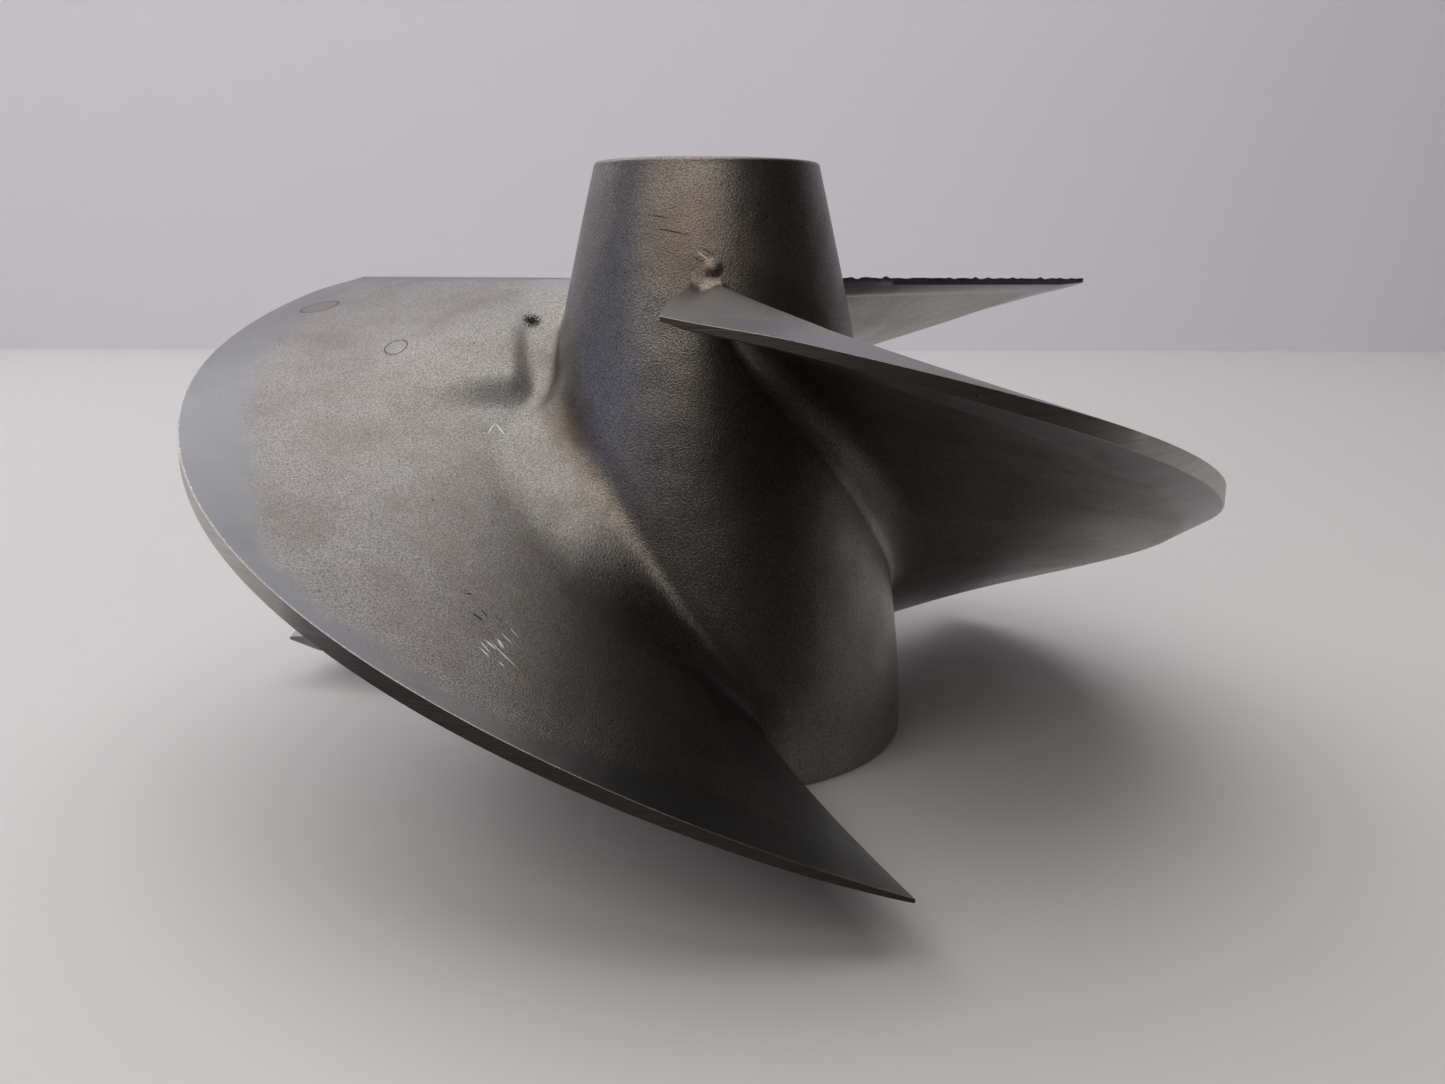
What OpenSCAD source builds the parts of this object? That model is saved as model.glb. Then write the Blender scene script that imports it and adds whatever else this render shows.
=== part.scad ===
// Impeller of a small boat's water-jet pump: three helical blades on a hollow, tapering hub.
// Dimensions are in millimetres. The origin is the centre of the hub's wide rear face, on
// which the impeller stands. +Z runs along the shaft to the nose, where the drive shaft
// enters. Seen from the nose the blades fall counterclockwise, so the helix is left-handed.

/* [Hub] */
// Length of the hub from its rear face to its nose
hub_h = 89.6; // [86:0.1:92]
// Radius of the hub at its rear face
hub_base_r = 32.2; // [31.5:0.1:34]
// Radius of the hub at its nose
nose_r = 17.05; // [16.5:0.05:18]
// Slope at which the hub's taper starts
taper_slope = 0.15; // [0.1:0.01:0.17]
// Length over which the straight rear end turns into the taper
taper_start = 20; // [15:1:25]
// Width of the broken edge around the nose
nose_edge = 0.6; // [0.3:0.1:1]
// Wall of the hub around its hollow
hub_wall = 4.4; // [3.5:0.1:5]
// Radius of the turned register in the rear face
register_r = 28.6; // [28:0.1:29]
// Depth of the turned register in the rear face
register_h = 6; // [4:0.5:6]
// Height at which the hollow of the hub ends
hollow_top = 46; // [42:1:48]

/* [Blades] */
// Radius of the turned blade rims
rim_r = 77.75; // [75:0.05:80]
// Angle of the first blade's leading edge, counterclockwise from +X
first_angle = 26.7; // [0:0.1:119]
// Angle that each blade wraps around the hub
wrap = 140.4; // [130:0.1:145]
// Height of the leading edges above the rear face
lead_z = 71.3; // [69:0.1:73]
// Pitch of the helix at the leading edge, in length per turn
lead_pitch = 105; // [95:1:112]
// Pitch of the helix at the trailing edge, in length per turn
trail_pitch = 219; // [190:1:222]
// Angle by which the leading edge trails back towards the hub
lead_lean = 2.9; // [0:0.1:4]
// Angle by which the trailing edge is cut back at the hub
trail_lean = 4.1; // [0:0.1:6]
// Height by which the rims stand above the even helix behind the leading edge
rim_lift = 0.5; // [0:0.1:1]
// Height by which the tops of the blades are crowned inboard of the rims near the leading edge
crown = 3.3; // [1:0.1:4]
// Distance from the rim over which most of the crown rises
crown_reach = 22; // [15:1:30]
// Thickness of the leading edge, along the shaft
lead_t = 0.9; // [0.7:0.1:1.5]
// Thickness of the trailing edge, along the shaft
trail_t = 2.8; // [2:0.1:3.2]
// Thickness that the middle of a blade adds to that of its edges
belly_t = 3.7; // [2:0.1:4.5]
// Thickness that the blade gains from its rim to its root
root_gain = 1.5; // [0.5:0.1:3]
// Thickness of the turned rim face at mid chord
rim_t = 2.5; // [2:0.1:3]
// Thickness of the rim at the tips of both edges
rim_tip_t = 0.5; // [0.4:0.1:1]
// Width of the bevel under the rim
rim_bevel = 5.5; // [3:0.1:8]
// Radius of the fillet between the hub and the top of a blade
top_fillet = 14; // [6:0.5:15]
// Radius of the fillet between the hub and the underside of a blade
under_fillet = 5.5; // [3:0.5:6]

/* [Drive socket] */
// Radius of the splined socket's sleeve
sleeve_r = 15; // [14.5:0.1:15.5]
// Radius of the plain entry bore in the nose
entry_r = 13.2; // [13:0.1:13.6]
// Depth of the plain entry bore
entry_h = 8; // [6:0.5:10]
// Number of spline teeth
spline_teeth = 15; // [11:1:17]
// Radius over the tips of the spline's teeth
spline_tip_r = 10.9; // [10.6:0.1:11.2]
// Radius at the roots of the spline's tooth spaces
spline_root_r = 12.2; // [11.8:0.1:12.4]
// Length of the spline
spline_h = 31; // [26:1:32]

/* [Shaft socket] */
// Outer radius of the threaded boss
boss_r = 17.6; // [17:0.1:18]
// Height of the boss's rear end above the hub's rear face
boss_z = 7; // [6.5:0.5:9]
// Radius of the pilot bore behind the thread
pilot_r = 13; // [12.5:0.1:13.5]
// Depth of the pilot bore
pilot_h = 8; // [7:0.5:10]
// Radius of the threaded bore, at the crests of its thread
thread_r = 9.9; // [9.6:0.1:10.2]
// Width of the chamfer at the mouth of the thread
thread_chamfer = 1.2; // [0.8:0.1:1.6]

/* [Hidden] */
// The separate parts, and the one that is drawn
blade_count = 3;
// Colours of the cast skin and of the bored metal
steel = [0.47, 0.45, 0.43];
bright_steel = [0.62, 0.61, 0.59];
// Steps along a blade, along each fillet and from fillet to rim
chord_steps = 44;
fillet_steps = 4;
span_steps = 5;
// Steps along the hub's profile and around its surfaces of revolution
profile_steps = 28;
round_fn = 96;
rim_fn = 180;
// Angles behind the leading edge over which the crown rises, where it starts to fade, and over
// which it fades
crown_rise = 10;
crown_end = 35;
crown_fade = 40;
// Power of the sine that a blade's thickness follows from edge to edge
belly_shape = 0.7;
// Shares of the fillets' radii left at the leading and trailing edges, and shares of the chord
// over which they rise, above and below the blade, and fade
fillet_least = 0.2;
fillet_end = 0.4;
top_rise = 0.5;
under_rise = 0.2;
fillet_fade = 0.35;
// How far a blade is cast into the hub, and how far its rim is cast oversize for turning
root_depth = 0.6;
turn_stock = 1.5;
// Thinnest section left on the oversize rim
least_t = 0.3;
// Depth of the groove at the spline's blind end
groove_h = 0.6;
// Extra length by which every cutting tool runs past the surface that it cuts
cut = 1;
// Growth of the taper that brings the hub from its base radius to its nose radius
taper_curve = (hub_base_r - nose_r
    - taper_slope * (norm([hub_h, taper_start]) - taper_start)) / (hub_h * hub_h);

// Outer radius of the hub at height z: a straight rear end that runs into a growing taper
function hub_r(z) = hub_base_r
    - taper_slope * (norm([z, taper_start]) - taper_start) - taper_curve * z * z;
// Inward lean of the hub's side at height z
function hub_lean(z) = (hub_r(z - cut) - hub_r(z + cut)) / (2 * cut);
function mix(a, b, k) = a + (b - a) * k;
function ease(k) = let (c = min(max(k, 0), 1)) c * c * (3 - 2 * c);

// Top of a blade at s degrees behind its leading edge: the pitch grows steadily
function helix_z(s) = lead_z
    - (lead_pitch * s + (trail_pitch - lead_pitch) * s * s / (2 * wrap)) / 360;
// Rise of the top of a blade above the even helix, at radius r and s degrees
function lift(r, s) = (rim_lift + crown * (1 - exp((r - rim_r) / crown_reach)))
    * ease(s / crown_rise) * (1 - ease((s - crown_end) / crown_fade));
function top_z(r, s) = helix_z(s) + lift(min(r, rim_r), s);
// Angle behind the leading edge's tip of the point at radius r and chord fraction u
function chord_s(r, u) = mix(
    -lead_lean * (rim_r - r) / (rim_r - nose_r),
    wrap - trail_lean * (rim_r - r) / (rim_r - hub_base_r), u);
// Swelling of a blade between its two edges
function belly(u) = pow(sin(180 * u), belly_shape);
// The turned rim face is narrower than the blade and runs out to thin tips
function rim_thickness(u) = mix(rim_tip_t, rim_t, belly(u));
// Radius where the bevel under the rim begins
bevel_r = rim_r - rim_bevel;
// Thickness of a blade along the shaft at radius r
function thickness(r, u) = let (full = mix(lead_t, trail_t, u) + belly_t * belly(u))
    r > bevel_r
    ? max(mix(full, rim_thickness(u), (r - bevel_r) / rim_bevel), least_t)
    : full + root_gain * belly(u) * (bevel_r - r) / (bevel_r - nose_r);
// Share of its full radius that a fillet has at chord fraction u: less towards both edges, and
// rising over the given share of the chord
function fillet_share(u, rise) = mix(fillet_least, 1, ease(u / rise))
    * mix(1, fillet_end, ease((u - 1 + fillet_fade) / fillet_fade));

// Radii and rises of a fillet of radius f that starts on the hub at height z and ends on the
// blade; side is 1 above the blade and -1 below it
function fillet(z, f, side) = let (
    lean = hub_lean(z),
    centre = hub_r(z) - side * lean * f + f * norm([1, lean]),
    first = 90 - side * atan(lean))
    [for (i = [0:fillet_steps]) let (a = first * (1 - i / fillet_steps))
        [centre - f * sin(a), f * (1 - cos(a))]];
// Radii and rises from inside the hub, along the fillet and out to the oversize rim
function span(z, f, side) = let (arc = fillet(z, f, side), last = arc[fillet_steps][0])
    concat([[arc[0][0] - root_depth, arc[0][1]]], arc,
        [for (i = [1:span_steps]) [mix(last, bevel_r, i / span_steps), 0]],
        [[rim_r + turn_stock, 0]]);
span_points = fillet_steps + span_steps + 3;

function place(r, z, s) = [r * cos(s), r * sin(s), z];
// One closed section of the blade at chord fraction u: its top outwards, its underside back
function section(u) = let (
    z = top_z(hub_base_r, u * wrap),
    top = span(z, top_fillet * fillet_share(u, top_rise), 1),
    low = span(z - thickness(hub_r(z), u), under_fillet * fillet_share(u, under_rise), -1))
    concat(
        [for (p = top) let (s = chord_s(p[0], u)) place(p[0], top_z(p[0], s) + p[1], s)],
        [for (i = [span_points - 1:-1:0]) let (p = low[i], s = chord_s(p[0], u))
            place(p[0], top_z(p[0], s) - thickness(p[0], u) - p[1], s)]);

// Skin over the sections, closed by a strip of faces at each edge
module blade_blank() {
    n = 2 * span_points;
    points = [for (k = [0:chord_steps]) each section(k / chord_steps)];
    sides = [for (k = [0:chord_steps - 1], i = [0:n - 1]) let (
        a = k * n + i, b = k * n + (i + 1) % n)
        each [[a, b, a + n], [b, b + n, a + n]]];
    last = chord_steps * n;
    ends = [for (i = [0:span_points - 2]) let (j = n - 1 - i)
        each [[i, j, i + 1], [i + 1, j, j - 1],
            [last + i, last + i + 1, last + j], [last + i + 1, last + j - 1, last + j]]];
    polyhedron(points = points, faces = concat(sides, ends));
}

// One blade, with its rim turned to the pump's bore
module blade(number) {
    color(steel)
        rotate([0, 0, first_angle + (number - 1) * 360 / blade_count])
            intersection() {
                blade_blank();
                cylinder(h = hub_h, r = rim_r, $fn = rim_fn);
            }
}

// Outer wall of the hub, hollow from the rear and thick around the drive socket
module hub_shell() {
    outside = [for (i = [0:profile_steps]) let (z = (hub_h - nose_edge) * i / profile_steps)
        [hub_r(z), z]];
    inside = [for (i = [profile_steps:-1:0])
        let (z = mix(register_h, hollow_top, i / profile_steps)) [hub_r(z) - hub_wall, z]];
    color(steel)
        rotate_extrude($fn = round_fn)
            polygon(concat(outside,
                [[nose_r - nose_edge, hub_h], [sleeve_r, hub_h], [sleeve_r, hollow_top]],
                inside, [[register_r, register_h], [register_r, 0]]));
}

// Front core of the hub, which takes the drive shaft's spline
module drive_socket() {
    spline_z = hub_h - entry_h - spline_h;
    tooth_w = PI * (spline_tip_r + spline_root_r) / 2 / spline_teeth;
    color(bright_steel)
        difference() {
            translate([0, 0, hollow_top])
                cylinder(h = hub_h - hollow_top, r = sleeve_r, $fn = round_fn);
            translate([0, 0, hub_h - entry_h])
                cylinder(h = entry_h + cut, r = entry_r, $fn = round_fn);
            translate([0, 0, spline_z])
                cylinder(h = spline_h + cut, r = spline_tip_r, $fn = round_fn);
            for (i = [0:spline_teeth - 1])
                rotate([0, 0, i * 360 / spline_teeth])
                    translate([spline_tip_r - cut, -tooth_w / 2, spline_z])
                        cube([spline_root_r - spline_tip_r + cut, tooth_w, spline_h + cut]);
            translate([0, 0, hollow_top - cut])
                cylinder(h = spline_z - hollow_top + 2 * cut, r = spline_root_r + groove_h, $fn = round_fn);
        }
}

// Rear core of the hub, which screws on to the pump shaft
module shaft_socket() {
    color(bright_steel)
        difference() {
            translate([0, 0, boss_z])
                cylinder(h = hollow_top - boss_z, r = boss_r, $fn = round_fn);
            translate([0, 0, boss_z - cut])
                cylinder(h = pilot_h + cut, r = pilot_r, $fn = round_fn);
            translate([0, 0, boss_z])
                cylinder(h = hollow_top, r = thread_r, $fn = round_fn);
            translate([0, 0, boss_z + pilot_h])
                cylinder(h = thread_chamfer, r1 = thread_r + thread_chamfer, r2 = thread_r,
                    $fn = round_fn);
        }
}

hub_shell();
drive_socket();
shaft_socket();
blade(1);  // blade_1
blade(2);  // blade_2
blade(3);  // blade_3
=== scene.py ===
import math
import bmesh
import bpy
import numpy as np
from mathutils import Matrix, Vector, noise


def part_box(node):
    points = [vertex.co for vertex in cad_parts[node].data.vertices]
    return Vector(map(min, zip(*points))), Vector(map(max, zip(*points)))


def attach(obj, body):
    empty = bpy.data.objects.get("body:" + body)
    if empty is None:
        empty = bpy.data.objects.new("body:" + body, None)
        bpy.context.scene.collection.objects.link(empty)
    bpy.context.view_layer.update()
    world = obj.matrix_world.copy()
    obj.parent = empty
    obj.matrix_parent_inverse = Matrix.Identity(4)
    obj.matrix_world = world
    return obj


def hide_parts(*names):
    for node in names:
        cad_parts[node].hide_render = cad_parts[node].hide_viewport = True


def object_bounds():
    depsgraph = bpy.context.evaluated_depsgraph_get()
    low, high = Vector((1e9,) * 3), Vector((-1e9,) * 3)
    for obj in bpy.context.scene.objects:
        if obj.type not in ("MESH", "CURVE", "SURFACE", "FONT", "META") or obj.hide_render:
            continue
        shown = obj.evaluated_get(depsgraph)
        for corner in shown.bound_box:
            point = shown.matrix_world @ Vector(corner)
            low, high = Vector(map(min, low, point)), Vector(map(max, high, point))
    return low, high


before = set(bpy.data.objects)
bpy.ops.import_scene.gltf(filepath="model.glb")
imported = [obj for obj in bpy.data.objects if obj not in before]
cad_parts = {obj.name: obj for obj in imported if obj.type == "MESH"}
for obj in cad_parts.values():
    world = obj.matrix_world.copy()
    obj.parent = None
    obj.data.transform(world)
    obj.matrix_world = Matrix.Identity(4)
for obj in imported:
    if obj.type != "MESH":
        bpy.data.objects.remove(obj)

cad_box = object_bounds()
MM = 0.001


# ---- Camera: a compact camera held just above bench height, level with the blades ----
# The distance, height and tilt are those from which the rims, nose and foot line up.
camera_data = bpy.data.cameras.new("camera")
camera_data.sensor_width = 36.0
camera_data.lens = 30.43
camera_data.clip_start = 0.01
camera = bpy.data.objects.new("camera", camera_data)
camera.location = (0.0, -194.7 * MM, 78.34 * MM)
camera_tilt = math.radians(90 - 13.92)
camera_turn = math.radians(-0.75)
camera_roll = math.radians(0.17)
camera.rotation_euler = (
    Matrix.Rotation(camera_turn, 3, "Z")
    @ Matrix.Rotation(camera_tilt, 3, "X")
    @ Matrix.Rotation(camera_roll, 3, "Z")
).to_euler()
bpy.context.scene.collection.objects.link(camera)
bpy.context.scene.camera = camera


# ---- Hub shell: the outer wall of the hub ----
# Cast in stainless steel in one pour with the blades, round a core that leaves it hollow from
# the rear. Only its rear rim, its register and its nose face are turned.
hub_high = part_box("hub_shell")[1] / MM
sleeve_low, sleeve_high = (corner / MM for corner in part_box("drive_socket"))
HUB_H = hub_high.z
BASE_R = hub_high.x
SLEEVE_R = sleeve_high.x
HOLLOW_TOP = sleeve_low.z
NOSE_R = 17.05
TAPER_SLOPE = 0.15
TAPER_START = 20.0
TAPER_CURVE = (
    BASE_R - NOSE_R - TAPER_SLOPE * (math.hypot(HUB_H, TAPER_START) - TAPER_START)
) / HUB_H**2
WALL = 4.4
REGISTER_R = 28.6
REGISTER_H = 6.0
HUB_TURNS = 288


def hub_r(z):
    return BASE_R - TAPER_SLOPE * (np.hypot(z, TAPER_START) - TAPER_START) - TAPER_CURVE * z * z


def hub_lean(z):
    return (hub_r(z - 1) - hub_r(z + 1)) / 2


def srgb(code):
    values = [int(code[i : i + 2], 16) / 255 for i in (0, 2, 4)]
    linear = [v / 12.92 if v <= 0.04045 else ((v + 0.055) / 1.055) ** 2.4 for v in values]
    return (*linear, 1.0)


def add_node(tree, kind, inputs=None, **settings):
    # Makes one node; an input's value is a number, a colour or another node's output.
    made = tree.nodes.new(kind)
    for name, value in settings.items():
        setattr(made, name, value)
    for name, value in (inputs or {}).items():
        if isinstance(value, bpy.types.NodeSocket):
            tree.links.new(value, made.inputs[name])
        else:
            made.inputs[name].default_value = value
    return made


def finish_piece(name, bm, material, slot, *nodes):
    mesh = bpy.data.meshes.new(name)
    bm.to_mesh(mesh)
    bm.free()
    piece = bpy.data.objects.new(name, mesh)
    bpy.context.scene.collection.objects.link(piece)
    mesh.materials.append(material)
    for face in mesh.polygons:
        face.use_smooth = True
    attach(piece, "root")
    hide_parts(*nodes)
    return piece


def smooth_by_angle(bm, degrees):
    for edge in bm.edges:
        edge.smooth = edge.calc_face_angle(0.0) < math.radians(degrees)


def spin_profile(points, turns):
    # Turns a closed outline of (radius, height) points in millimetres into a ring.
    bm = bmesh.new()
    verts = [bm.verts.new((r * MM, 0.0, z * MM)) for r, z in points]
    edges = [bm.edges.new((a, b)) for a, b in zip(verts, verts[1:] + verts[:1])]
    bmesh.ops.spin(
        bm, geom=verts + edges, cent=(0, 0, 0), axis=(0, 0, 1), angle=math.tau,
        steps=turns, use_merge=True, use_duplicate=False,
    )
    bmesh.ops.remove_doubles(bm, verts=bm.verts[:], dist=1e-7)
    bmesh.ops.recalc_face_normals(bm, faces=bm.faces[:])
    return bm


def arc(centre, radius, start, end, steps):
    # Points of (radius, height) along an arc; the angles are in degrees.
    angles = np.radians(np.linspace(start, end, steps + 1))
    return [(centre[0] + radius * math.cos(a), centre[1] + radius * math.sin(a)) for a in angles]


# Two oval marks on the second blade, where the casting's gates were cut off and dressed: centre,
# half length, half width, turn about the shaft, and how brown each is inside, in millimetres and
# degrees.
GATE_MARKS = [
    ((-65.6, 16.6, 67.0), 3.1, 2.6, 8, 0.6),
    ((-48.1, -3.4, 61.7), 1.7, 1.9, 0, 0.0),
]
# Scratches from end to end: where, half width, bright (1) or dark (0), and the way that the
# scratched face looks. The first lie on the second blade, the last few on the hub's front.
BLADE_FACE, HUB_FACE = Vector((0.396, -0.187, 0.899)), Vector((-0.06, -0.97, 0.24))
SCRATCHES = [
    ((-26.9, -57.7, 31.7), (-25.3, -59.1, 30.8), 0.17, 1, BLADE_FACE),
    ((-27.0, -56.4, 32.0), (-25.4, -58.2, 31.0), 0.15, 1, BLADE_FACE),
    ((-26.6, -55.7, 32.0), (-24.9, -57.0, 31.0), 0.24, 1, BLADE_FACE),
    ((-26.0, -55.6, 31.7), (-22.0, -59.2, 29.3), 0.17, 1, BLADE_FACE),
    ((-25.3, -54.4, 31.7), (-24.2, -56.2, 30.8), 0.35, 1, BLADE_FACE),
    ((-25.1, -52.9, 31.9), (-23.4, -54.5, 30.8), 0.14, 1, BLADE_FACE),
    ((-24.3, -51.1, 31.9), (-23.0, -52.5, 31.0), 0.12, 1, BLADE_FACE),
    ((-24.4, -59.1, 30.4), (-23.6, -59.8, 29.9), 0.20, 1, BLADE_FACE),
    ((-29.1, -51.1, 34.1), (-26.9, -52.3, 32.8), 0.32, 0, BLADE_FACE),
    ((-30.3, -47.9, 35.4), (-29.3, -47.6, 35.0), 0.28, 0, BLADE_FACE),
    ((-28.1, -49.7, 34.0), (-26.8, -51.0, 33.1), 0.22, 0, BLADE_FACE),
    ((-26.1, -50.0, 33.0), (-25.1, -50.9, 32.4), 0.15, 0, BLADE_FACE),
    ((-32.2, -16.5, 50.5), (-31.4, -14.4, 51.8), 0.14, 1, BLADE_FACE),
    ((-31.4, -14.4, 51.8), (-29.9, -15.7, 50.2), 0.14, 1, BLADE_FACE),
    ((-2.2, -20.1, 76.2), (-0.4, -20.5, 75.1), 0.16, 0, HUB_FACE),
    ((-1.5, -20.0, 76.9), (0.3, -20.4, 75.4), 0.12, 1, HUB_FACE),
    ((-0.8, -20.0, 77.3), (1.1, -20.2, 76.1), 0.14, 0, HUB_FACE),
    ((-7.2, -18.1, 79.8), (-2.0, -19.4, 78.8), 0.18, 0, HUB_FACE),
    ((-8.4, -17.0, 81.6), (-5.0, -18.2, 81.1), 0.12, 0, HUB_FACE),
]
# Brown stain on the hub's front, under the nose.
STAIN, STAIN_R = (-2.7, -19.4, 79.5), 11.0
# The stub of a gate on the hub above the third blade, and the sooty pit beside the second.
STUB, STUB_R = (0.9, -20.6, 74.5), 1.6
SOOT, SOOT_R = (-27.8, 2.4, 65.5), 1.3


def cast_steel(name):
    # Stainless steel cast in a ceramic shell and blasted: a fine matt grit about 0.25 mm across
    # that sparkles where light strikes it, small black gas pits, and a brown film where water
    # stands. The attribute "dressed" is over 0.5 where it was ground by hand, "turned" is 1
    # where it was turned on a lathe, "shelter" is 1 in the corner between hub and blades, where
    # a brown deposit and painted shade darken it, and "dirt" is near 1 along a dirty leading edge.
    material = bpy.data.materials.new(name)
    material.use_nodes = True
    tree = material.node_tree
    tree.nodes.clear()
    place = add_node(tree, "ShaderNodeTexCoord").outputs["Object"]
    mm = add_node(
        tree, "ShaderNodeMapping", {"Vector": place, "Scale": (1000, 1000, 1000)}
    ).outputs["Vector"]
    grit = add_node(
        tree, "ShaderNodeTexNoise", {"Vector": mm, "Scale": 4.0, "Detail": 2.0, "Roughness": 0.6}
    ).outputs["Fac"]
    waves = add_node(
        tree, "ShaderNodeTexNoise", {"Vector": mm, "Scale": 0.16, "Detail": 1.0, "Roughness": 0.5}
    ).outputs["Fac"]
    patches = add_node(
        tree, "ShaderNodeTexNoise", {"Vector": mm, "Scale": 0.075, "Detail": 5.0, "Roughness": 0.6}
    ).outputs["Fac"]

    # The cast skin: grey with a slight warm grain, mottled brown in soft patches.
    skin = add_node(
        tree, "ShaderNodeMapRange",
        {"Value": grit, "From Min": 0.3, "From Max": 0.7, "To Min": 0.0, "To Max": 1.0},
    ).outputs["Result"]
    colour = add_node(
        tree, "ShaderNodeMix", {"Factor": skin, 6: srgb("6C6866"), 7: srgb("ABA7A4")},
        data_type="RGBA",
    ).outputs[2]
    film = add_node(
        tree, "ShaderNodeMapRange",
        {"Value": patches, "From Min": 0.46, "From Max": 0.68, "To Min": 0.0, "To Max": 0.4},
    ).outputs["Result"]
    colour = add_node(
        tree, "ShaderNodeMix", {"Factor": film, 6: colour, 7: srgb("746A60")}, data_type="RGBA"
    ).outputs[2]
    # Painted shade and a brown deposit: the corners between hub and blades are darkened brown.
    shelter = add_node(
        tree, "ShaderNodeAttribute", attribute_name="shelter", attribute_type="GEOMETRY"
    ).outputs["Fac"]
    deposit_and_shade = add_node(
        tree, "ShaderNodeMath", {0: shelter, 1: patches}, operation="MULTIPLY"
    ).outputs["Value"]
    deposit_and_shade = add_node(
        tree, "ShaderNodeMapRange",
        {"Value": deposit_and_shade, "From Min": 0.3, "From Max": 0.6, "To Min": 0.0, "To Max": 0.45},
    ).outputs["Result"]
    colour = add_node(
        tree, "ShaderNodeMix", {"Factor": deposit_and_shade, 6: colour, 7: srgb("5C4A3A")}, data_type="RGBA"
    ).outputs[2]
    stain = add_node(
        tree, "ShaderNodeVectorMath", {0: mm, 1: STAIN}, operation="DISTANCE"
    ).outputs["Value"]
    stain = add_node(
        tree, "ShaderNodeMapRange",
        {"Value": stain, "From Min": 3.0, "From Max": STAIN_R, "To Min": 1.0, "To Max": 0.0},
    ).outputs["Result"]
    stain = add_node(
        tree, "ShaderNodeMath", {0: stain, 1: skin}, operation="MULTIPLY"
    ).outputs["Value"]
    stain = add_node(
        tree, "ShaderNodeMath", {0: stain, 1: 0.6}, operation="MULTIPLY"
    ).outputs["Value"]
    colour = add_node(
        tree, "ShaderNodeMix", {"Factor": stain, 6: colour, 7: srgb("8A6E58")}, data_type="RGBA"
    ).outputs[2]
    rough = add_node(
        tree, "ShaderNodeMapRange",
        {"Value": patches, "From Min": 0.3, "From Max": 0.7, "To Min": 0.32, "To Max": 0.42},
    ).outputs["Result"]

    # Gas pits, up to 0.3 mm across and a few millimetres apart.
    cells = add_node(tree, "ShaderNodeTexVoronoi", {"Vector": mm, "Scale": 0.7})
    pit_r = add_node(
        tree, "ShaderNodeMapRange",
        {"Value": cells.outputs["Color"], "From Min": 0.45, "From Max": 1.0,
         "To Min": 0.0, "To Max": 0.11},
    ).outputs["Result"]
    pit = add_node(
        tree, "ShaderNodeMath", {0: cells.outputs["Distance"], 1: pit_r}, operation="LESS_THAN"
    ).outputs["Value"]
    soot = add_node(
        tree, "ShaderNodeVectorMath", {0: mm, 1: SOOT}, operation="DISTANCE"
    ).outputs["Value"]
    soot = add_node(
        tree, "ShaderNodeMath", {0: grit, 1: -5.0, 2: soot}, operation="MULTIPLY_ADD"
    ).outputs["Value"]
    soot = add_node(
        tree, "ShaderNodeMath", {0: soot, 1: -SOOT_R}, operation="LESS_THAN"
    ).outputs["Value"]
    pit = add_node(tree, "ShaderNodeMath", {0: pit, 1: soot}, operation="MAXIMUM").outputs["Value"]

    # Ground by hand along the rims and edges: smooth and grey, with an uneven border.
    dressed = add_node(
        tree, "ShaderNodeAttribute", attribute_name="dressed", attribute_type="GEOMETRY"
    ).outputs["Fac"]
    border = add_node(
        tree, "ShaderNodeTexNoise", {"Vector": mm, "Scale": 0.22, "Detail": 4.0, "Roughness": 0.6}
    ).outputs["Fac"]
    dressed = add_node(
        tree, "ShaderNodeMath", {0: border, 1: 0.8, 2: dressed}, operation="MULTIPLY_ADD"
    ).outputs["Value"]
    dressed = add_node(
        tree, "ShaderNodeMapRange",
        {"Value": dressed, "From Min": 0.66, "From Max": 1.06, "To Min": 0.0, "To Max": 1.0},
    ).outputs["Result"]
    colour = add_node(
        tree, "ShaderNodeMix", {"Factor": dressed, 6: colour, 7: srgb("868689")}, data_type="RGBA"
    ).outputs[2]
    rough = add_node(
        tree, "ShaderNodeMix", {"Factor": dressed, "A": rough, "B": 0.36}
    ).outputs["Result"]

    # Turned faces: rings a few tenths of a millimetre apart that run around the shaft.
    turned = add_node(
        tree, "ShaderNodeAttribute", attribute_name="turned", attribute_type="GEOMETRY"
    ).outputs["Fac"]
    flat_mm = add_node(
        tree, "ShaderNodeMapping", {"Vector": mm, "Scale": (0.05, 0.05, 3.2)}
    ).outputs["Vector"]
    rings = add_node(
        tree, "ShaderNodeTexNoise", {"Vector": flat_mm, "Scale": 1.0, "Detail": 2.0}
    ).outputs["Fac"]
    lathe_tone = add_node(
        tree, "ShaderNodeMix", {"Factor": rings, 6: srgb("ACA8A4"), 7: srgb("D8D5D1")},
        data_type="RGBA",
    ).outputs[2]
    colour = add_node(
        tree, "ShaderNodeMix", {"Factor": turned, 6: colour, 7: lathe_tone}, data_type="RGBA"
    ).outputs[2]
    rough = add_node(
        tree, "ShaderNodeMix", {"Factor": turned, "A": rough, "B": 0.38}
    ).outputs["Result"]

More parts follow.
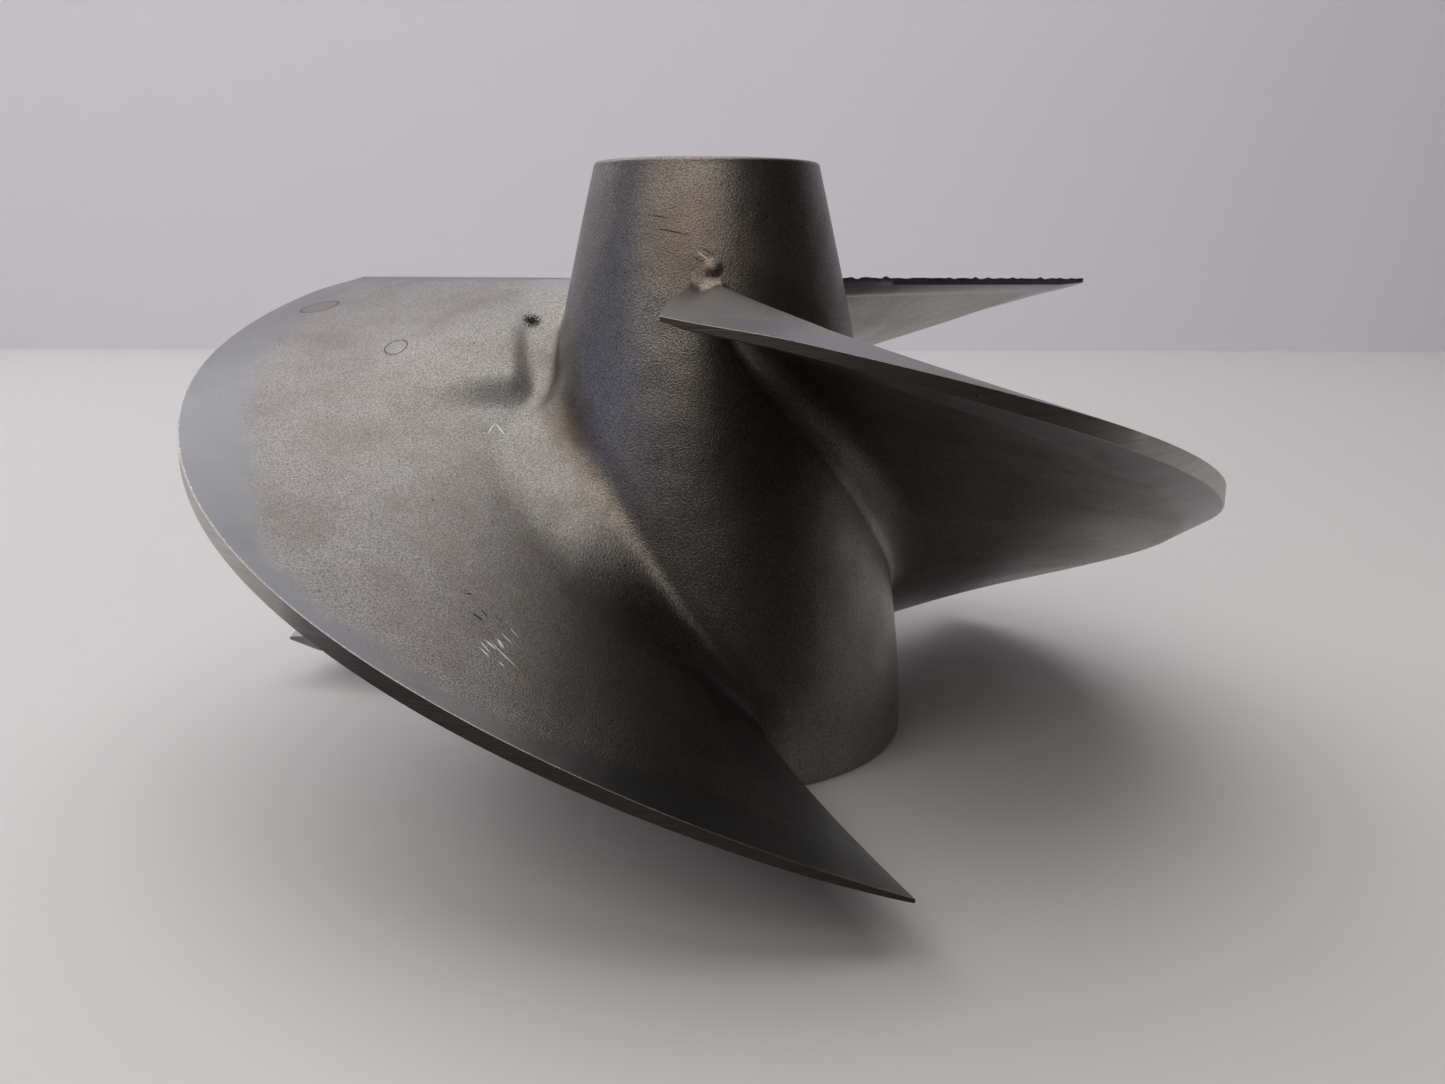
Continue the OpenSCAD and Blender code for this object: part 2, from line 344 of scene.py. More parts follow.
    # Nicks shine along the sharp edge of the rims, and dirt clings to one ragged leading edge.
    crease = add_node(
        tree, "ShaderNodeMath", {0: turned, 1: 0.5, 2: 0.42}, operation="COMPARE"
    ).outputs["Value"]
    nick = add_node(
        tree, "ShaderNodeMath", {0: grit, 1: 0.58}, operation="GREATER_THAN"
    ).outputs["Value"]
    nick = add_node(
        tree, "ShaderNodeMath", {0: nick, 1: crease}, operation="MULTIPLY"
    ).outputs["Value"]
    nick = add_node(
        tree, "ShaderNodeMath", {0: nick, 1: dressed}, operation="MULTIPLY"
    ).outputs["Value"]
    colour = add_node(
        tree, "ShaderNodeMix", {"Factor": nick, 6: colour, 7: srgb("D8D4CF")}, data_type="RGBA"
    ).outputs[2]
    dirt = add_node(
        tree, "ShaderNodeAttribute", attribute_name="dirt", attribute_type="GEOMETRY"
    ).outputs["Fac"]
    dirt = add_node(
        tree, "ShaderNodeMath", {0: border, 1: 0.8, 2: dirt}, operation="MULTIPLY_ADD"
    ).outputs["Value"]
    dirt = add_node(
        tree, "ShaderNodeMapRange",
        {"Value": dirt, "From Min": 1.12, "From Max": 1.36, "To Min": 0.0, "To Max": 0.9},
    ).outputs["Result"]
    colour = add_node(
        tree, "ShaderNodeMix", {"Factor": dirt, 6: colour, 7: srgb("353833")}, data_type="RGBA"
    ).outputs[2]
    rough = add_node(
        tree, "ShaderNodeMix", {"Factor": dirt, "A": rough, "B": 0.7}
    ).outputs["Result"]

    # Heights in millimetres: grit, waves in the skin, pits and tool marks.
    smooth = add_node(
        tree, "ShaderNodeMath", {0: dressed, 1: turned}, operation="MAXIMUM"
    ).outputs["Value"]
    grit_h = add_node(
        tree, "ShaderNodeMapRange",
        {"Value": smooth, "From Min": 0.0, "From Max": 1.0, "To Min": 0.06, "To Max": 0.008},
    ).outputs["Result"]
    height = add_node(
        tree, "ShaderNodeMath", {0: waves, 1: 0.16}, operation="MULTIPLY"
    ).outputs["Value"]
    height = add_node(
        tree, "ShaderNodeMath", {0: grit, 1: grit_h, 2: height}, operation="MULTIPLY_ADD"
    ).outputs["Value"]
    height = add_node(
        tree, "ShaderNodeMath", {0: pit, 1: -0.1, 2: height}, operation="MULTIPLY_ADD"
    ).outputs["Value"]
    ring_h = add_node(
        tree, "ShaderNodeMath", {0: turned, 1: rings}, operation="MULTIPLY"
    ).outputs["Value"]
    height = add_node(
        tree, "ShaderNodeMath", {0: ring_h, 1: 0.03, 2: height}, operation="MULTIPLY_ADD"
    ).outputs["Value"]
    stub = add_node(
        tree, "ShaderNodeVectorMath", {0: mm, 1: STUB}, operation="DISTANCE"
    ).outputs["Value"]
    stub = add_node(
        tree, "ShaderNodeMapRange",
        {"Value": stub, "From Min": 0.0, "From Max": STUB_R, "To Min": 0.28, "To Max": 0.0},
        interpolation_type="SMOOTHSTEP",
    ).outputs["Result"]
    height = add_node(
        tree, "ShaderNodeMath", {0: height, 1: stub}, operation="ADD"
    ).outputs["Value"]

    # The dressed gate marks show as thin dark outlines, the first of them browned inside.
    for centre, long_half, short_half, turn, brown in GATE_MARKS:
        local = add_node(
            tree, "ShaderNodeMapping",
            {"Vector": mm, "Location": centre, "Rotation": (0, 0, math.radians(turn)),
             "Scale": (long_half, short_half, 4.0)},
            vector_type="TEXTURE",
        ).outputs["Vector"]
        local = add_node(
            tree, "ShaderNodeVectorMath", {0: local, 1: (1, 1, 0)}, operation="MULTIPLY"
        ).outputs["Vector"]
        reach = add_node(
            tree, "ShaderNodeVectorMath", {0: local}, operation="LENGTH"
        ).outputs["Value"]
        outline = add_node(
            tree, "ShaderNodeMath", {0: reach, 1: 1.0, 2: 0.08}, operation="COMPARE"
        ).outputs["Value"]
        high = add_node(tree, "ShaderNodeSeparateXYZ", {"Vector": mm}).outputs["Z"]
        upper = add_node(
            tree, "ShaderNodeMath", {0: high, 1: centre[2] - 3.2}, operation="GREATER_THAN"
        ).outputs["Value"]
        outline = add_node(
            tree, "ShaderNodeMath", {0: outline, 1: upper}, operation="MULTIPLY"
        ).outputs["Value"]
        inside = add_node(
            tree, "ShaderNodeMath", {0: reach, 1: 1.0}, operation="LESS_THAN"
        ).outputs["Value"]
        inside = add_node(
            tree, "ShaderNodeMath", {0: inside, 1: upper}, operation="MULTIPLY"
        ).outputs["Value"]
        inside = add_node(
            tree, "ShaderNodeMath", {0: inside, 1: brown}, operation="MULTIPLY"
        ).outputs["Value"]
        colour = add_node(
            tree, "ShaderNodeMix", {"Factor": inside, 6: colour, 7: srgb("7A7064")},
            data_type="RGBA",
        ).outputs[2]
        outline = add_node(
            tree, "ShaderNodeMath", {0: outline, 1: 0.75}, operation="MULTIPLY"
        ).outputs["Value"]
        colour = add_node(
            tree, "ShaderNodeMix", {"Factor": outline, 6: colour, 7: srgb("3A322B")},
            data_type="RGBA",
        ).outputs[2]

    # Each scratch is a long thin ellipsoid that the surface passes through.
    for start, end, half_width, bright, facing in SCRATCHES:
        along = Vector(end) - Vector(start)
        across = facing.cross(along).normalized()
        up = along.cross(across).normalized()
        lie = Matrix((along.normalized(), across, up)).transposed().to_euler()
        local = add_node(
            tree, "ShaderNodeMapping",
            {"Vector": mm, "Location": (Vector(start) + Vector(end)) / 2, "Rotation": lie,
             "Scale": (along.length * 0.6, half_width, 1.6)},
            vector_type="TEXTURE",
        ).outputs["Vector"]
        reach = add_node(
            tree, "ShaderNodeVectorMath", {0: local}, operation="LENGTH"
        ).outputs["Value"]
        reach = add_node(
            tree, "ShaderNodeMath", {0: grit, 1: 0.9, 2: reach}, operation="MULTIPLY_ADD"
        ).outputs["Value"]
        mark = add_node(
            tree, "ShaderNodeMapRange",
            {"Value": reach, "From Min": 0.8, "From Max": 1.35, "To Min": 0.9, "To Max": 0.0},
        ).outputs["Result"]
        colour = add_node(
            tree, "ShaderNodeMix",
            {"Factor": mark, 6: colour, 7: srgb("F4F2EE") if bright else srgb("2A2521")},
            data_type="RGBA",
        ).outputs[2]
        if bright:
            rough = add_node(
                tree, "ShaderNodeMix", {"Factor": mark, "A": rough, "B": 0.62}
            ).outputs["Result"]

    colour = add_node(
        tree, "ShaderNodeMix", {"Factor": pit, 6: colour, 7: srgb("191613")}, data_type="RGBA"
    ).outputs[2]
    bump = add_node(
        tree, "ShaderNodeBump", {"Height": height, "Strength": 1.0, "Distance": MM}
    ).outputs["Normal"]
    shader = add_node(
        tree, "ShaderNodeBsdfPrincipled",
        {"Base Color": colour, "Metallic": 1.0, "Roughness": rough, "Normal": bump},
    )
    add_node(tree, "ShaderNodeOutputMaterial", {"Surface": shader.outputs["BSDF"]})
    return material


casting_steel = cast_steel("blasted_cast_stainless")
rear_edge, nose_edge, hollow_fillet = 0.5, 0.6, 3.0
side_steps, hollow_steps = 110, 24
side_heights = np.linspace(rear_edge, HUB_H - nose_edge, side_steps)
outline = [(BASE_R - rear_edge, 0.0)]
outline += [(float(hub_r(z)), float(z)) for z in side_heights]
nose_side = float(hub_r(HUB_H - nose_edge))
outline += arc((nose_side - nose_edge, HUB_H - nose_edge), nose_edge, 15, 90, 4)
outline += [(SLEEVE_R, HUB_H), (SLEEVE_R, HOLLOW_TOP)]
hollow_r = float(hub_r(HOLLOW_TOP)) - WALL
outline += arc((hollow_r - hollow_fillet, HOLLOW_TOP - hollow_fillet), hollow_fillet, 90, 10, 6)
outline += [
    (float(hub_r(z)) - WALL, float(z))
    for z in np.linspace(HOLLOW_TOP - hollow_fillet - 1, REGISTER_H, hollow_steps)
]
outline += [(REGISTER_R, REGISTER_H), (REGISTER_R, rear_edge), (REGISTER_R + rear_edge, 0.0)]
bm = spin_profile(outline, HUB_TURNS)
turned = bm.verts.layers.float.new("turned")
for v in bm.verts:
    r, z = math.hypot(v.co.x, v.co.y) / MM, v.co.z / MM
    v[turned] = z < 0.01 or z > HUB_H - 0.01 or (z < REGISTER_H + 0.01 and r < REGISTER_R + 0.6)
smooth_by_angle(bm, 35)
hub = finish_piece("hub_casting", bm, casting_steel, "cast_steel", "hub_shell")


# ---- Drive socket: the splined core in the nose ----
# Broached in the casting: a plain entry bore, fifteen teeth and a groove where the broach
# runs out. The drive shaft slides in from the nose.
ENTRY_R, ENTRY_H = 13.2, 8.0
SPLINE_TIP_R, SPLINE_ROOT_R, SPLINE_H, SPLINE_TEETH = 10.9, 12.2, 31.0, 15
TIP_HALF, ROOT_HALF = 0.9, 1.5
BORE_TURNS = 180
groove_depth, tooth_sink, tooth_lead, entry_chamfer = 0.6, 0.4, 0.8, 0.9
spline_top = HUB_H - ENTRY_H
spline_foot = spline_top - SPLINE_H


def bored_steel(name):
    # Turned and broached stainless steel: brighter than the casting, with fine rings left by
    # the tool and a film of old grease.
    material = bpy.data.materials.new(name)
    material.use_nodes = True
    tree = material.node_tree
    tree.nodes.clear()
    place = add_node(tree, "ShaderNodeTexCoord").outputs["Object"]
    rings = add_node(
        tree, "ShaderNodeMapping", {"Vector": place, "Scale": (60, 60, 4000)}
    ).outputs["Vector"]
    lines = add_node(
        tree, "ShaderNodeTexNoise", {"Vector": rings, "Scale": 1.0, "Detail": 3.0}
    ).outputs["Fac"]
    grease = add_node(
        tree, "ShaderNodeTexNoise", {"Vector": place, "Scale": 90.0, "Detail": 4.0}
    ).outputs["Fac"]
    film = add_node(
        tree, "ShaderNodeMapRange",
        {"Value": grease, "From Min": 0.42, "From Max": 0.68, "To Min": 0.0, "To Max": 0.7},
    ).outputs["Result"]
    colour = add_node(
        tree, "ShaderNodeMix", {"Factor": film, 6: srgb("A9A6A2"), 7: srgb("6E6256")},
        data_type="RGBA",
    ).outputs[2]
    rough = add_node(
        tree, "ShaderNodeMapRange", {"Value": lines, "To Min": 0.26, "To Max": 0.44}
    ).outputs["Result"]
    bump = add_node(
        tree, "ShaderNodeBump", {"Height": lines, "Strength": 0.35, "Distance": 0.02 * MM}
    ).outputs["Normal"]
    shader = add_node(
        tree, "ShaderNodeBsdfPrincipled",
        {"Base Color": colour, "Metallic": 1.0, "Roughness": rough, "Normal": bump},
    )
    add_node(tree, "ShaderNodeOutputMaterial", {"Surface": shader.outputs["BSDF"]})
    return material


bore_steel = bored_steel("bored_stainless")
groove_r = SPLINE_ROOT_R + groove_depth
sleeve = [
    (SLEEVE_R, HUB_H), (SLEEVE_R, HOLLOW_TOP), (groove_r, HOLLOW_TOP), (groove_r, spline_foot),
    (SPLINE_ROOT_R, spline_foot), (SPLINE_ROOT_R, spline_top), (ENTRY_R, spline_top),
    (ENTRY_R, HUB_H - entry_chamfer), (ENTRY_R + entry_chamfer, HUB_H),
]
bm = spin_profile(sleeve, BORE_TURNS)
tooth_pitch = math.tau / SPLINE_TEETH
for i in range(SPLINE_TEETH):
    tooth = bmesh.ops.create_cube(bm, size=1.0)["verts"]
    for v in tooth:
        inner = v.co.x < 0
        high = v.co.z > 0
        r = SPLINE_TIP_R if inner else SPLINE_ROOT_R + tooth_sink
        half = (TIP_HALF if inner else ROOT_HALF) * (1 if v.co.y > 0 else -1)
        lead = tooth_lead if inner else 0.0
        z = spline_top - lead if high else spline_foot + lead
        v.co = Vector((r * MM, half * MM, z * MM))
    bmesh.ops.rotate(
        bm, verts=tooth, cent=(0, 0, 0), matrix=Matrix.Rotation((i + 0.5) * tooth_pitch, 3, "Z")
    )
smooth_by_angle(bm, 30)
finish_piece("drive_socket_bore", bm, bore_steel, "bored_steel", "drive_socket")


# ---- Shaft socket: the threaded core at the rear ----
# A boss inside the hollow hub, bored, chamfered and cut with a coarse thread that screws on to
# the pump's bearing shaft.
boss_low, boss_high = (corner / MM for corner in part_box("shaft_socket"))
BOSS_R = boss_high.x
BOSS_Z = boss_low.z
PILOT_R, PILOT_H = 13.0, 8.0
THREAD_R = 9.9
THREAD_PITCH = 2.5
THREAD_DEPTH = 1.35
THREAD_STEPS = 96
THREAD_FOOT, THREAD_CREST = 0.44, 0.1  # half widths, as shares of the pitch
boss_edge, pilot_edge, thread_sink = 0.6, 0.5, 0.3
thread_low = BOSS_Z + PILOT_H + 1.2
thread_high = HOLLOW_TOP - 3.0
boss = [
    (BOSS_R, HOLLOW_TOP), (BOSS_R, BOSS_Z + boss_edge), (BOSS_R - boss_edge, BOSS_Z),
    (PILOT_R + pilot_edge, BOSS_Z), (PILOT_R, BOSS_Z + pilot_edge), (PILOT_R, BOSS_Z + PILOT_H),
    (THREAD_R + THREAD_DEPTH, BOSS_Z + PILOT_H),
    (THREAD_R + THREAD_DEPTH, HOLLOW_TOP),
]
bm = spin_profile(boss, BORE_TURNS)
smooth_by_angle(bm, 30)
finish_piece("shaft_socket_boss", bm, bore_steel, "bored_steel", "shaft_socket")

bm = bmesh.new()
half = THREAD_PITCH * THREAD_FOOT
crest = THREAD_PITCH * THREAD_CREST
foot = [
    (THREAD_R + THREAD_DEPTH + thread_sink, half), (THREAD_R, crest),
    (THREAD_R, -crest), (THREAD_R + THREAD_DEPTH + thread_sink, -half),
]
verts = [bm.verts.new((r * MM, 0.0, (thread_low + half + z) * MM)) for r, z in foot]
edges = [bm.edges.new((a, b)) for a, b in zip(verts, verts[1:] + verts[:1])]
turns = (thread_high - thread_low - 2 * half) / THREAD_PITCH
steps = int(turns * THREAD_STEPS)
start_face = bm.faces.new(verts)
bmesh.ops.spin(
    bm, geom=[start_face], cent=(0, 0, 0), axis=(0, 0, 1), angle=math.tau * turns,
    dvec=(0, 0, THREAD_PITCH * turns / steps * MM), steps=steps,
    use_merge=False, use_duplicate=False,
)
bmesh.ops.recalc_face_normals(bm, faces=bm.faces[:])
smooth_by_angle(bm, 30)
mesh = bpy.data.meshes.new("shaft_thread")
bm.to_mesh(mesh)
bm.free()
thread = bpy.data.objects.new("shaft_thread", mesh)
bpy.context.scene.collection.objects.link(thread)
mesh.materials.append(bore_steel)
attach(thread, "root")


# ---- Blades: three helical vanes ----
# Cast with the hub and blended into it, then turned at the rim to the pump's bore and ground
# by hand along the rim and both edges.
BLADES = 3
FIRST_ANGLE = 26.7
WRAP = 140.4
LEAD_Z = 71.3
LEAD_PITCH, TRAIL_PITCH = 105.0, 219.0
LEAD_LEAN, TRAIL_LEAN = 2.9, 4.1
RIM_LIFT, CROWN, CROWN_REACH = 0.5, 3.3, 22.0
CROWN_RISE, CROWN_END, CROWN_FADE = 10.0, 35.0, 40.0
LEAD_T, TRAIL_T, BELLY_T, BELLY_SHAPE, ROOT_GAIN = 0.9, 2.8, 3.7, 0.7, 1.5
RIM_T, RIM_TIP_T = 2.5, 0.5
RIM_BEVEL = 5.5
TOP_FILLET, UNDER_FILLET = 14.0, 5.5
FILLET_LEAST, FILLET_END, FILLET_FADE = 0.2, 0.4, 0.35
TOP_RISE, UNDER_RISE = 0.5, 0.2
CHORD_CELLS, SPAN_CELLS, FILLET_CELLS = 300, 76, 18
RIM_R = max(cad_box[1][0] / MM, cad_box[1][1] / MM)
BEVEL_R = RIM_R - RIM_BEVEL
RIM_LAND = 0.3
ROOT_DEPTH, SUNK_H, SUNK_GAP, FOOT_GAP = 0.6, 2.0, 0.03, 0.004
BROKEN_EDGE = 0.18
SHELTER_REACH = 5.0
# Beside the swelling the top fillet loses a share of its radius; start and end are parts of the
# way along the blade, each with the length over which the change happens.
SLIM_SHARE = 0.7
SLIM_START, SLIM_GROWTH = 0.02, 0.08
SLIM_END, SLIM_FADE = 0.37, 0.12
# The swelling beside the root: its height; the radii at which its steep inner side and its
# gentle outer side begin, each with its width; and the angles behind the leading edge at which
# it starts to grow and to end, each with its length.
SWELL_H = 1.9
SWELL_INNER, SWELL_STEEP = 27.2, 3.8
SWELL_OUTER, SWELL_GENTLE = 36.0, 16.0
SWELL_START, SWELL_GROWTH = 8.0, 30.0
SWELL_END, SWELL_STEP = 49.0, 6.0
# Widths of the ground bands on top and beneath; the rim's band on top is wider at both ends.
LEAD_BANDS, TRAIL_BANDS = (7.0, 5.0), (9.0, 2.0)
RIM_BAND, RIM_BAND_FRONT, RIM_BAND_REAR, RIM_BAND_UNDER = 3.0, 6.0, 5.0, 4.5
FRONT_END, FRONT_FADE = 58.0, 25.0
REAR_START, REAR_GROWTH = 105.0, 20.0
BAND_SOFTNESS = 8.0
# The ragged leading edge: its burr's least height and its teeth, how much of the top and of the
# underside is dirty, and how far both reach back.
BURR_H, BURR_TEETH = 0.25, 0.4
DIRT_SHARES = (0.86, 0.6)
BURR_REACH, DIRT_REACH = 1.6, 1.3


def mix(a, b, k):
    return a + (b - a) * k


def ease(k):
    c = np.clip(k, 0, 1)
    return c * c * (3 - 2 * c)


def top_z(r, s):
    # Height of the top of a blade at radius r, s degrees behind its leading edge.
    helix = LEAD_Z - (LEAD_PITCH * s + (TRAIL_PITCH - LEAD_PITCH) * s * s / (2 * WRAP)) / 360
    crown = RIM_LIFT + CROWN * (1 - np.exp((np.minimum(r, RIM_R) - RIM_R) / CROWN_REACH))
    return helix + crown * ease(s / CROWN_RISE) * (1 - ease((s - CROWN_END) / CROWN_FADE))


def chord_s(r, u):
    lead = -LEAD_LEAN * (RIM_R - r) / (RIM_R - NOSE_R)
    trail = WRAP - TRAIL_LEAN * (RIM_R - r) / (RIM_R - BASE_R)
    return mix(lead, trail, u)


def belly(u):
    return np.clip(np.sin(np.pi * u), 0, 1) ** BELLY_SHAPE


def thickness(r, u):
    full = mix(LEAD_T, TRAIL_T, u) + BELLY_T * belly(u)
    rim = mix(RIM_TIP_T, RIM_T, belly(u))
    inner = full + ROOT_GAIN * belly(u) * (BEVEL_R - r) / (BEVEL_R - NOSE_R)
    return np.where(r > BEVEL_R, mix(full, rim, (r - BEVEL_R) / RIM_BEVEL), inner)


def fillet_share(u, rise):
    grown = mix(FILLET_LEAST, 1, ease(u / rise))
    return grown * mix(1, FILLET_END, ease((u - 1 + FILLET_FADE) / FILLET_FADE))


def sheet_points(u, row, side):
    # Radius, angle and height of the points of one face of a blade; side is 1 for the top.
    # Rows 0 and 1 lie just inside the hub, 2 is where the fillet leaves it, and the last is
    # the turned rim.
    f = UNDER_FILLET * fillet_share(u, UNDER_RISE)
    if side > 0:
        # Beside the swelling near the leading edge the fillet is only a few millimetres.
        f = TOP_FILLET * fillet_share(u, TOP_RISE)
        slim = ease((u - SLIM_START) / SLIM_GROWTH) * (1 - ease((u - SLIM_END) / SLIM_FADE))
        f = f * (1 - SLIM_SHARE * slim)
    foot_z = top_z(BASE_R, u * WRAP)
    for _ in range(6):
        lean = hub_lean(foot_z)
        first = math.pi / 2 - side * np.arctan(lean)
        foot_r = hub_r(foot_z)
        face = top_z(foot_r, chord_s(foot_r, u)) - (thickness(foot_r, u) if side < 0 else 0)
        foot_z = face + side * f * (1 - np.cos(first))
    centre = foot_r - FOOT_GAP + f * np.sin(first)
    k = np.clip((row - 2) / (FILLET_CELLS - 2), 0, 1)
    angle = first * (1 - k)
    rise = f * (1 - np.cos(angle))
    out = np.clip((row - FILLET_CELLS) / (SPAN_CELLS - 1 - FILLET_CELLS), 0, 1)
    r = np.where(row > FILLET_CELLS, mix(centre, RIM_R - RIM_LAND, out), centre - f * np.sin(angle))
    r = np.where(row == SPAN_CELLS, RIM_R, r)
    s = chord_s(r, u)
    z = top_z(r, s) + (rise if side > 0 else -thickness(r, u) - rise)
    if side > 0:
        z = z + swelling(r, s)
    sunk_z = foot_z + side * SUNK_H
    r = np.where(row < 2, hub_r(sunk_z) - SUNK_GAP - ROOT_DEPTH * (row < 1), r)
    z = np.where(row < 2, sunk_z, z)
    s = np.where(row < 2, chord_s(foot_r, u), s)
    return r, s, z


def swelling(r, s):
    # A low cast swelling beside the root, steep towards the hub and ending in a step.
    rise_out = ease((r - SWELL_INNER) / SWELL_STEEP) * (1 - ease((r - SWELL_OUTER) / SWELL_GENTLE))
    rise_back = (1 - ease((s - SWELL_END) / SWELL_STEP)) * ease((s - SWELL_START) / SWELL_GROWTH)
    return SWELL_H * rise_out * rise_back


def blade_sheet(bm, side, angle, ragged):
    grid = bmesh.ops.create_grid(bm, x_segments=CHORD_CELLS, y_segments=SPAN_CELLS, size=1.0)
    verts = grid["verts"]
    flat = np.array([v.co for v in verts])
    u = (flat[:, 0] + 1) / 2
    row = np.rint((flat[:, 1] + 1) / 2 * SPAN_CELLS)
    r, s, z = sheet_points(u, row, side)
    under = int(side < 0)
    # The first blade's leading edge is turned up in a ragged burr, and is dirty.
    behind = np.maximum(r * np.radians(s - chord_s(r, 0)), 0)
    dirt_at = ragged * np.clip(DIRT_SHARES[under] - behind / DIRT_REACH, 0, 1)
    burr = ragged * (row > 1) * (1 - ease(behind / BURR_REACH))
    if side > 0:
        coarse = np.array([noise.noise((at * 0.9, 0.0, 7.0)) for at in r])
        fine = np.array([noise.noise((at * 2.6, 3.0, 7.0)) for at in r])
        z = z + burr * (BURR_H + BURR_TEETH * (coarse + 0.6 * fine))
    # Ground along the rim and both edges, in wider bands on top than beneath.
    wider_front = RIM_BAND_FRONT * (1 - ease((s - FRONT_END) / FRONT_FADE))
    wider_rear = RIM_BAND_REAR * ease((s - REAR_START) / REAR_GROWTH)
    rim_band = RIM_BAND_UNDER if under else RIM_BAND + wider_front + wider_rear
    from_rim = rim_band - (RIM_R - r)
    from_lead = LEAD_BANDS[under] - r * np.radians(s - chord_s(r, 0))
    from_trail = TRAIL_BANDS[under] - r * np.radians(chord_s(r, 1) - s)
    inside = np.maximum(np.maximum(from_rim, from_lead), from_trail)
    dressed_at = np.clip(0.5 + inside / BAND_SOFTNESS, 0, 1) * (r > hub_r(z) + 1.5)
    sheltered = np.exp(-np.maximum(r - hub_r(z), 0) / SHELTER_REACH)
    turn = np.radians(s + angle)
    dressed = bm.verts.layers.float["dressed"]
    shelter = bm.verts.layers.float["shelter"]
    turned = bm.verts.layers.float["turned"]
    dirt = bm.verts.layers.float["dirt"]
    x, y = r * np.cos(turn), r * np.sin(turn)
    on_rim = row == SPAN_CELLS
    for i, v in enumerate(verts):
        v.co = (x[i] * MM, y[i] * MM, z[i] * MM)
        v[dressed] = dressed_at[i]
        v[shelter] = sheltered[i]
        v[turned] = on_rim[i]
        v[dirt] = dirt_at[i]


for number in range(1, BLADES + 1):
    angle = FIRST_ANGLE + (number - 1) * 360 / BLADES
    bm = bmesh.new()
    for layer in ("dressed", "shelter", "turned", "dirt"):
        bm.verts.layers.float.new(layer)
    blade_sheet(bm, 1, angle, number == 1)
    blade_sheet(bm, -1, angle, number == 1)
    bmesh.ops.bridge_loops(bm, edges=[e for e in bm.edges if e.is_boundary])
    bmesh.ops.recalc_face_normals(bm, faces=bm.faces[:])
    smooth_by_angle(bm, 40)
    node = f"blade_{number}"
    blade = finish_piece(f"{node}_casting", bm, casting_steel, "cast_steel", node)
    edge = blade.modifiers.new("broken_edge", "BEVEL")
    edge.width = BROKEN_EDGE * MM
    edge.segments = 2
    edge.limit_method = "ANGLE"
    edge.angle_limit = math.radians(40)
    edge.harden_normals = True

# The brown deposit and painted shade on the hub gather along the roots of the blades.
hub_x, hub_y, hub_z = np.array([v.co for v in hub.data.vertices]).T / MM
hub_angle = np.degrees(np.arctan2(hub_y, hub_x))
outside = np.hypot(hub_x, hub_y) > hub_r(hub_z) - 0.7
nearest = np.full(len(hub_z), np.inf)
for number in range(BLADES):
    s = (hub_angle - FIRST_ANGLE - number * 360 / BLADES + 20) % 360 - 20
    u = np.clip(s / WRAP, 0, 1)
    above = hub_z - top_z(BASE_R, s) - TOP_FILLET * fillet_share(u, TOP_RISE)
    below = top_z(BASE_R, s) - hub_z - thickness(BASE_R, u)
    below = below - UNDER_FILLET * fillet_share(u, UNDER_RISE)
    beside = np.maximum(np.maximum(-2 - s, s - WRAP), 0) * 0.5
    gap = np.hypot(np.maximum(np.maximum(above, below), 0), beside)
    nearest = np.minimum(nearest, gap)
attribute = hub.data.attributes.new("shelter", "FLOAT", "POINT")
attribute.data.foreach_set(
    "value", (outside * np.exp(-nearest / SHELTER_REACH)).astype(np.float32)
)


# ---- Studio: a pale bench, a pale backdrop and soft lights ----
# Painted boards that hold no detail, and lamps placed so that the steel shows its shape.
def plain(name, code, rough):
    # Matt paint on a plain board: nothing but a soft, even tone.
    material = bpy.data.materials.new(name)
    material.use_nodes = True
    shader = material.node_tree.nodes["Principled BSDF"]
    shader.inputs["Base Color"].default_value = srgb(code)
    shader.inputs["Roughness"].default_value = rough
    return material


bench_paint = plain("pale_bench_paint", "E2E0E1", 0.6)
WALL_Y = 0.70
FRONT_Y = -0.05


def board(name, low, high, material):
    # A flat board between two opposite corners, lying, facing the camera, or facing sideways.
    bm = bmesh.new()
    corners = bmesh.ops.create_grid(bm, x_segments=1, y_segments=1, size=1.0)["verts"]
    for v in corners:
        right, far = v.co.x > 0, v.co.y > 0
        deep = right if low[0] == high[0] else far
        v.co = (
            high[0] if right else low[0],
            high[1] if deep else low[1],
            high[2] if far else low[2],
        )
    mesh = bpy.data.meshes.new(name)
    bm.to_mesh(mesh)
    bm.free()
    made = bpy.data.objects.new(name, mesh)
    mesh.materials.append(material)
    bpy.context.scene.collection.objects.link(made)
    return made


board("bench", (-2.2, FRONT_Y, 0), (2.2, WALL_Y, 0), bench_paint)
board("bench_behind_wall", (-2.2, WALL_Y, 0), (2.2, 2.2, 0), bench_paint)
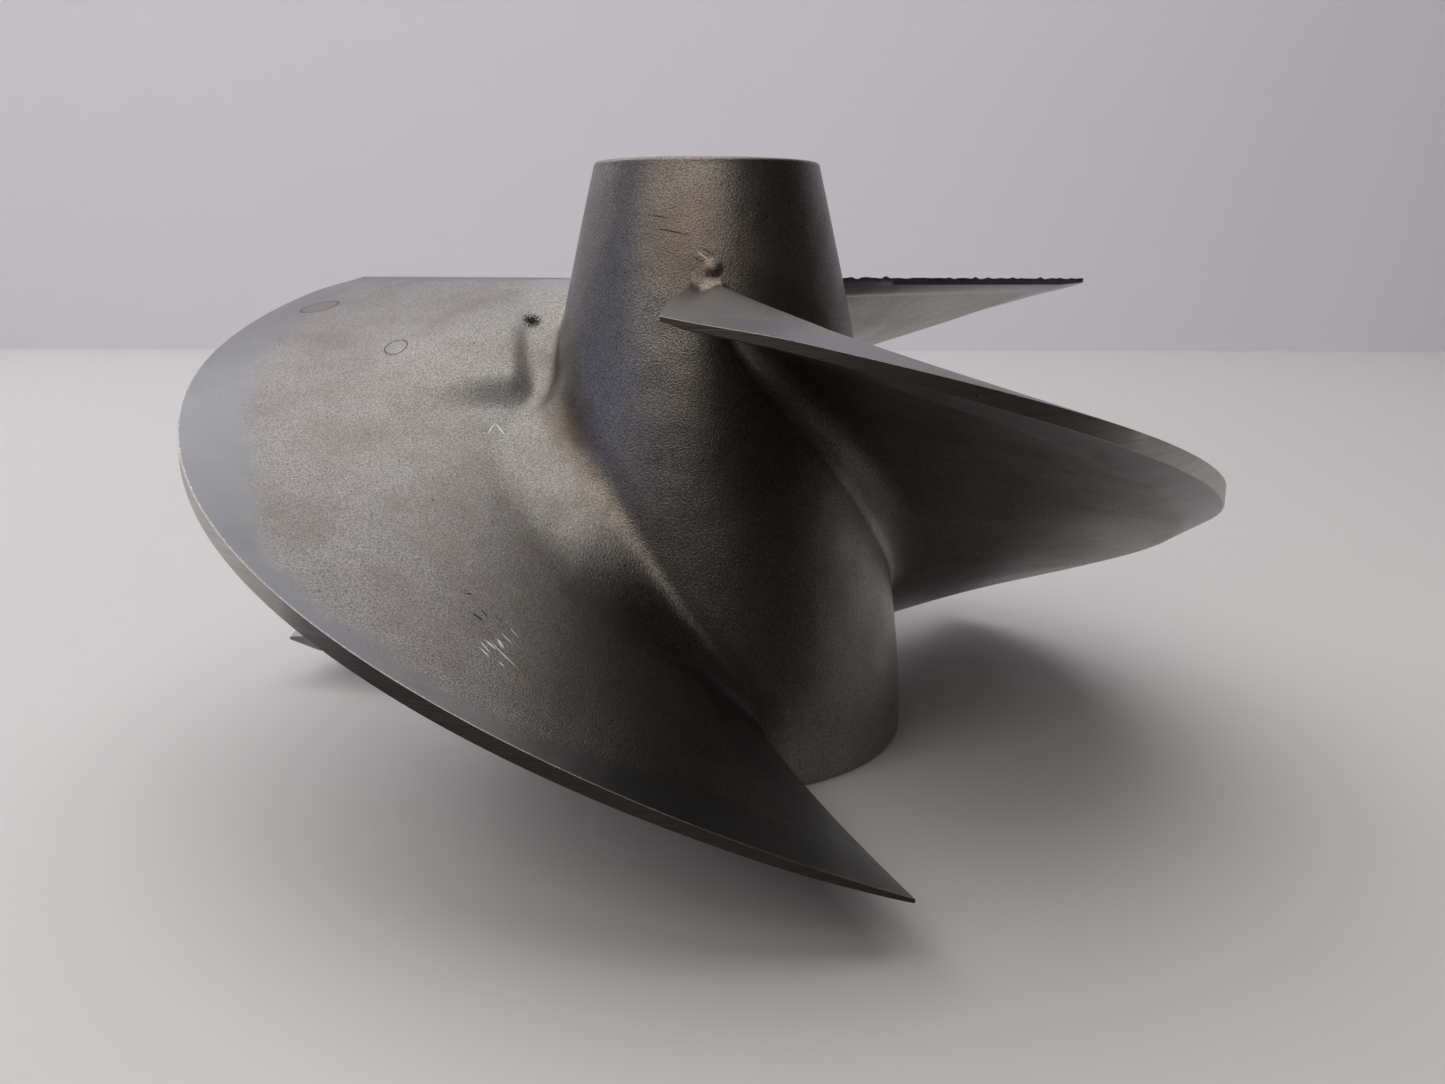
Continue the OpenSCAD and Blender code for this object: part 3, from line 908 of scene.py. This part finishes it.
# The near part of the bench is kept out of reflections, as a black card on it would keep it.
front_bench = board("bench_front", (-2.2, -2.2, 0), (2.2, FRONT_Y, 0), bench_paint)
front_bench.visible_glossy = False
wall_paint = plain("pale_wall_paint", "F0EEF6", 0.8)
board("backdrop", (-2.2, WALL_Y, 0), (2.2, WALL_Y, 1.6), wall_paint)
# Screens on the other three sides stand behind views from there, and throw back no light.
ROOM = 1.25
screens = [
    board("screen_front", (-ROOM, -ROOM, 0), (ROOM, -ROOM, 1.6), wall_paint),
    board("screen_left", (-ROOM, -ROOM, 0), (-ROOM, WALL_Y, 1.6), wall_paint),
    board("screen_right", (ROOM, -ROOM, 0), (ROOM, WALL_Y, 1.6), wall_paint),
]
for screen in screens:
    screen.visible_glossy = False
    screen.visible_diffuse = False

world = bpy.data.worlds.new("studio_air")
world.use_nodes = True
world.node_tree.nodes["Background"].inputs["Color"].default_value = srgb("2A2420")
world.node_tree.nodes["Background"].inputs["Strength"].default_value = 1.0
bpy.context.scene.world = world


def soft_light(name, place, target, size, glow, code):
    # glow is the brightness of the lamp's face, where 1 is as bright as white paper shows.
    data = bpy.data.lights.new(name, "AREA")
    data.shape = "RECTANGLE"
    data.size, data.size_y = size
    data.energy = glow * math.pi * size[0] * size[1]
    data.color = srgb(code)[:3]
    lamp = bpy.data.objects.new(name, data)
    lamp.location = place
    lamp.rotation_euler = (Vector(target) - Vector(place)).to_track_quat("-Z", "Y").to_euler()
    bpy.context.scene.collection.objects.link(lamp)
    return lamp


soft_light("ceiling_softbox", (-0.25, 0.10, 1.0), (-0.25, 0.10, 0), (1.4, 1.2), 1.4, "FFFEFC")
soft_light("back_softbox", (-0.55, 0.66, 0.62), (0, 0, 0.05), (1.3, 0.6), 0.95, "FAFAFF")
soft_light("front_softbox", (-0.33, -0.68, 0.70), (0, 0, 0.06), (1.3, 0.5), 1.4, "FFF6EC")
soft_light("left_softbox", (-0.92, -0.25, 0.19), (0, 0, 0.05), (1.0, 0.20), 0.8, "C6D5FF")
wall_light = soft_light(
    "wall_softbox", (0.7, 0.25, 0.9), (0.7, WALL_Y, 0.15), (1.4, 0.2), 0.3, "F6F4FF"
)
wall_light.data.spread = math.radians(70)

view = bpy.context.scene.view_settings
view.view_transform = "Standard"
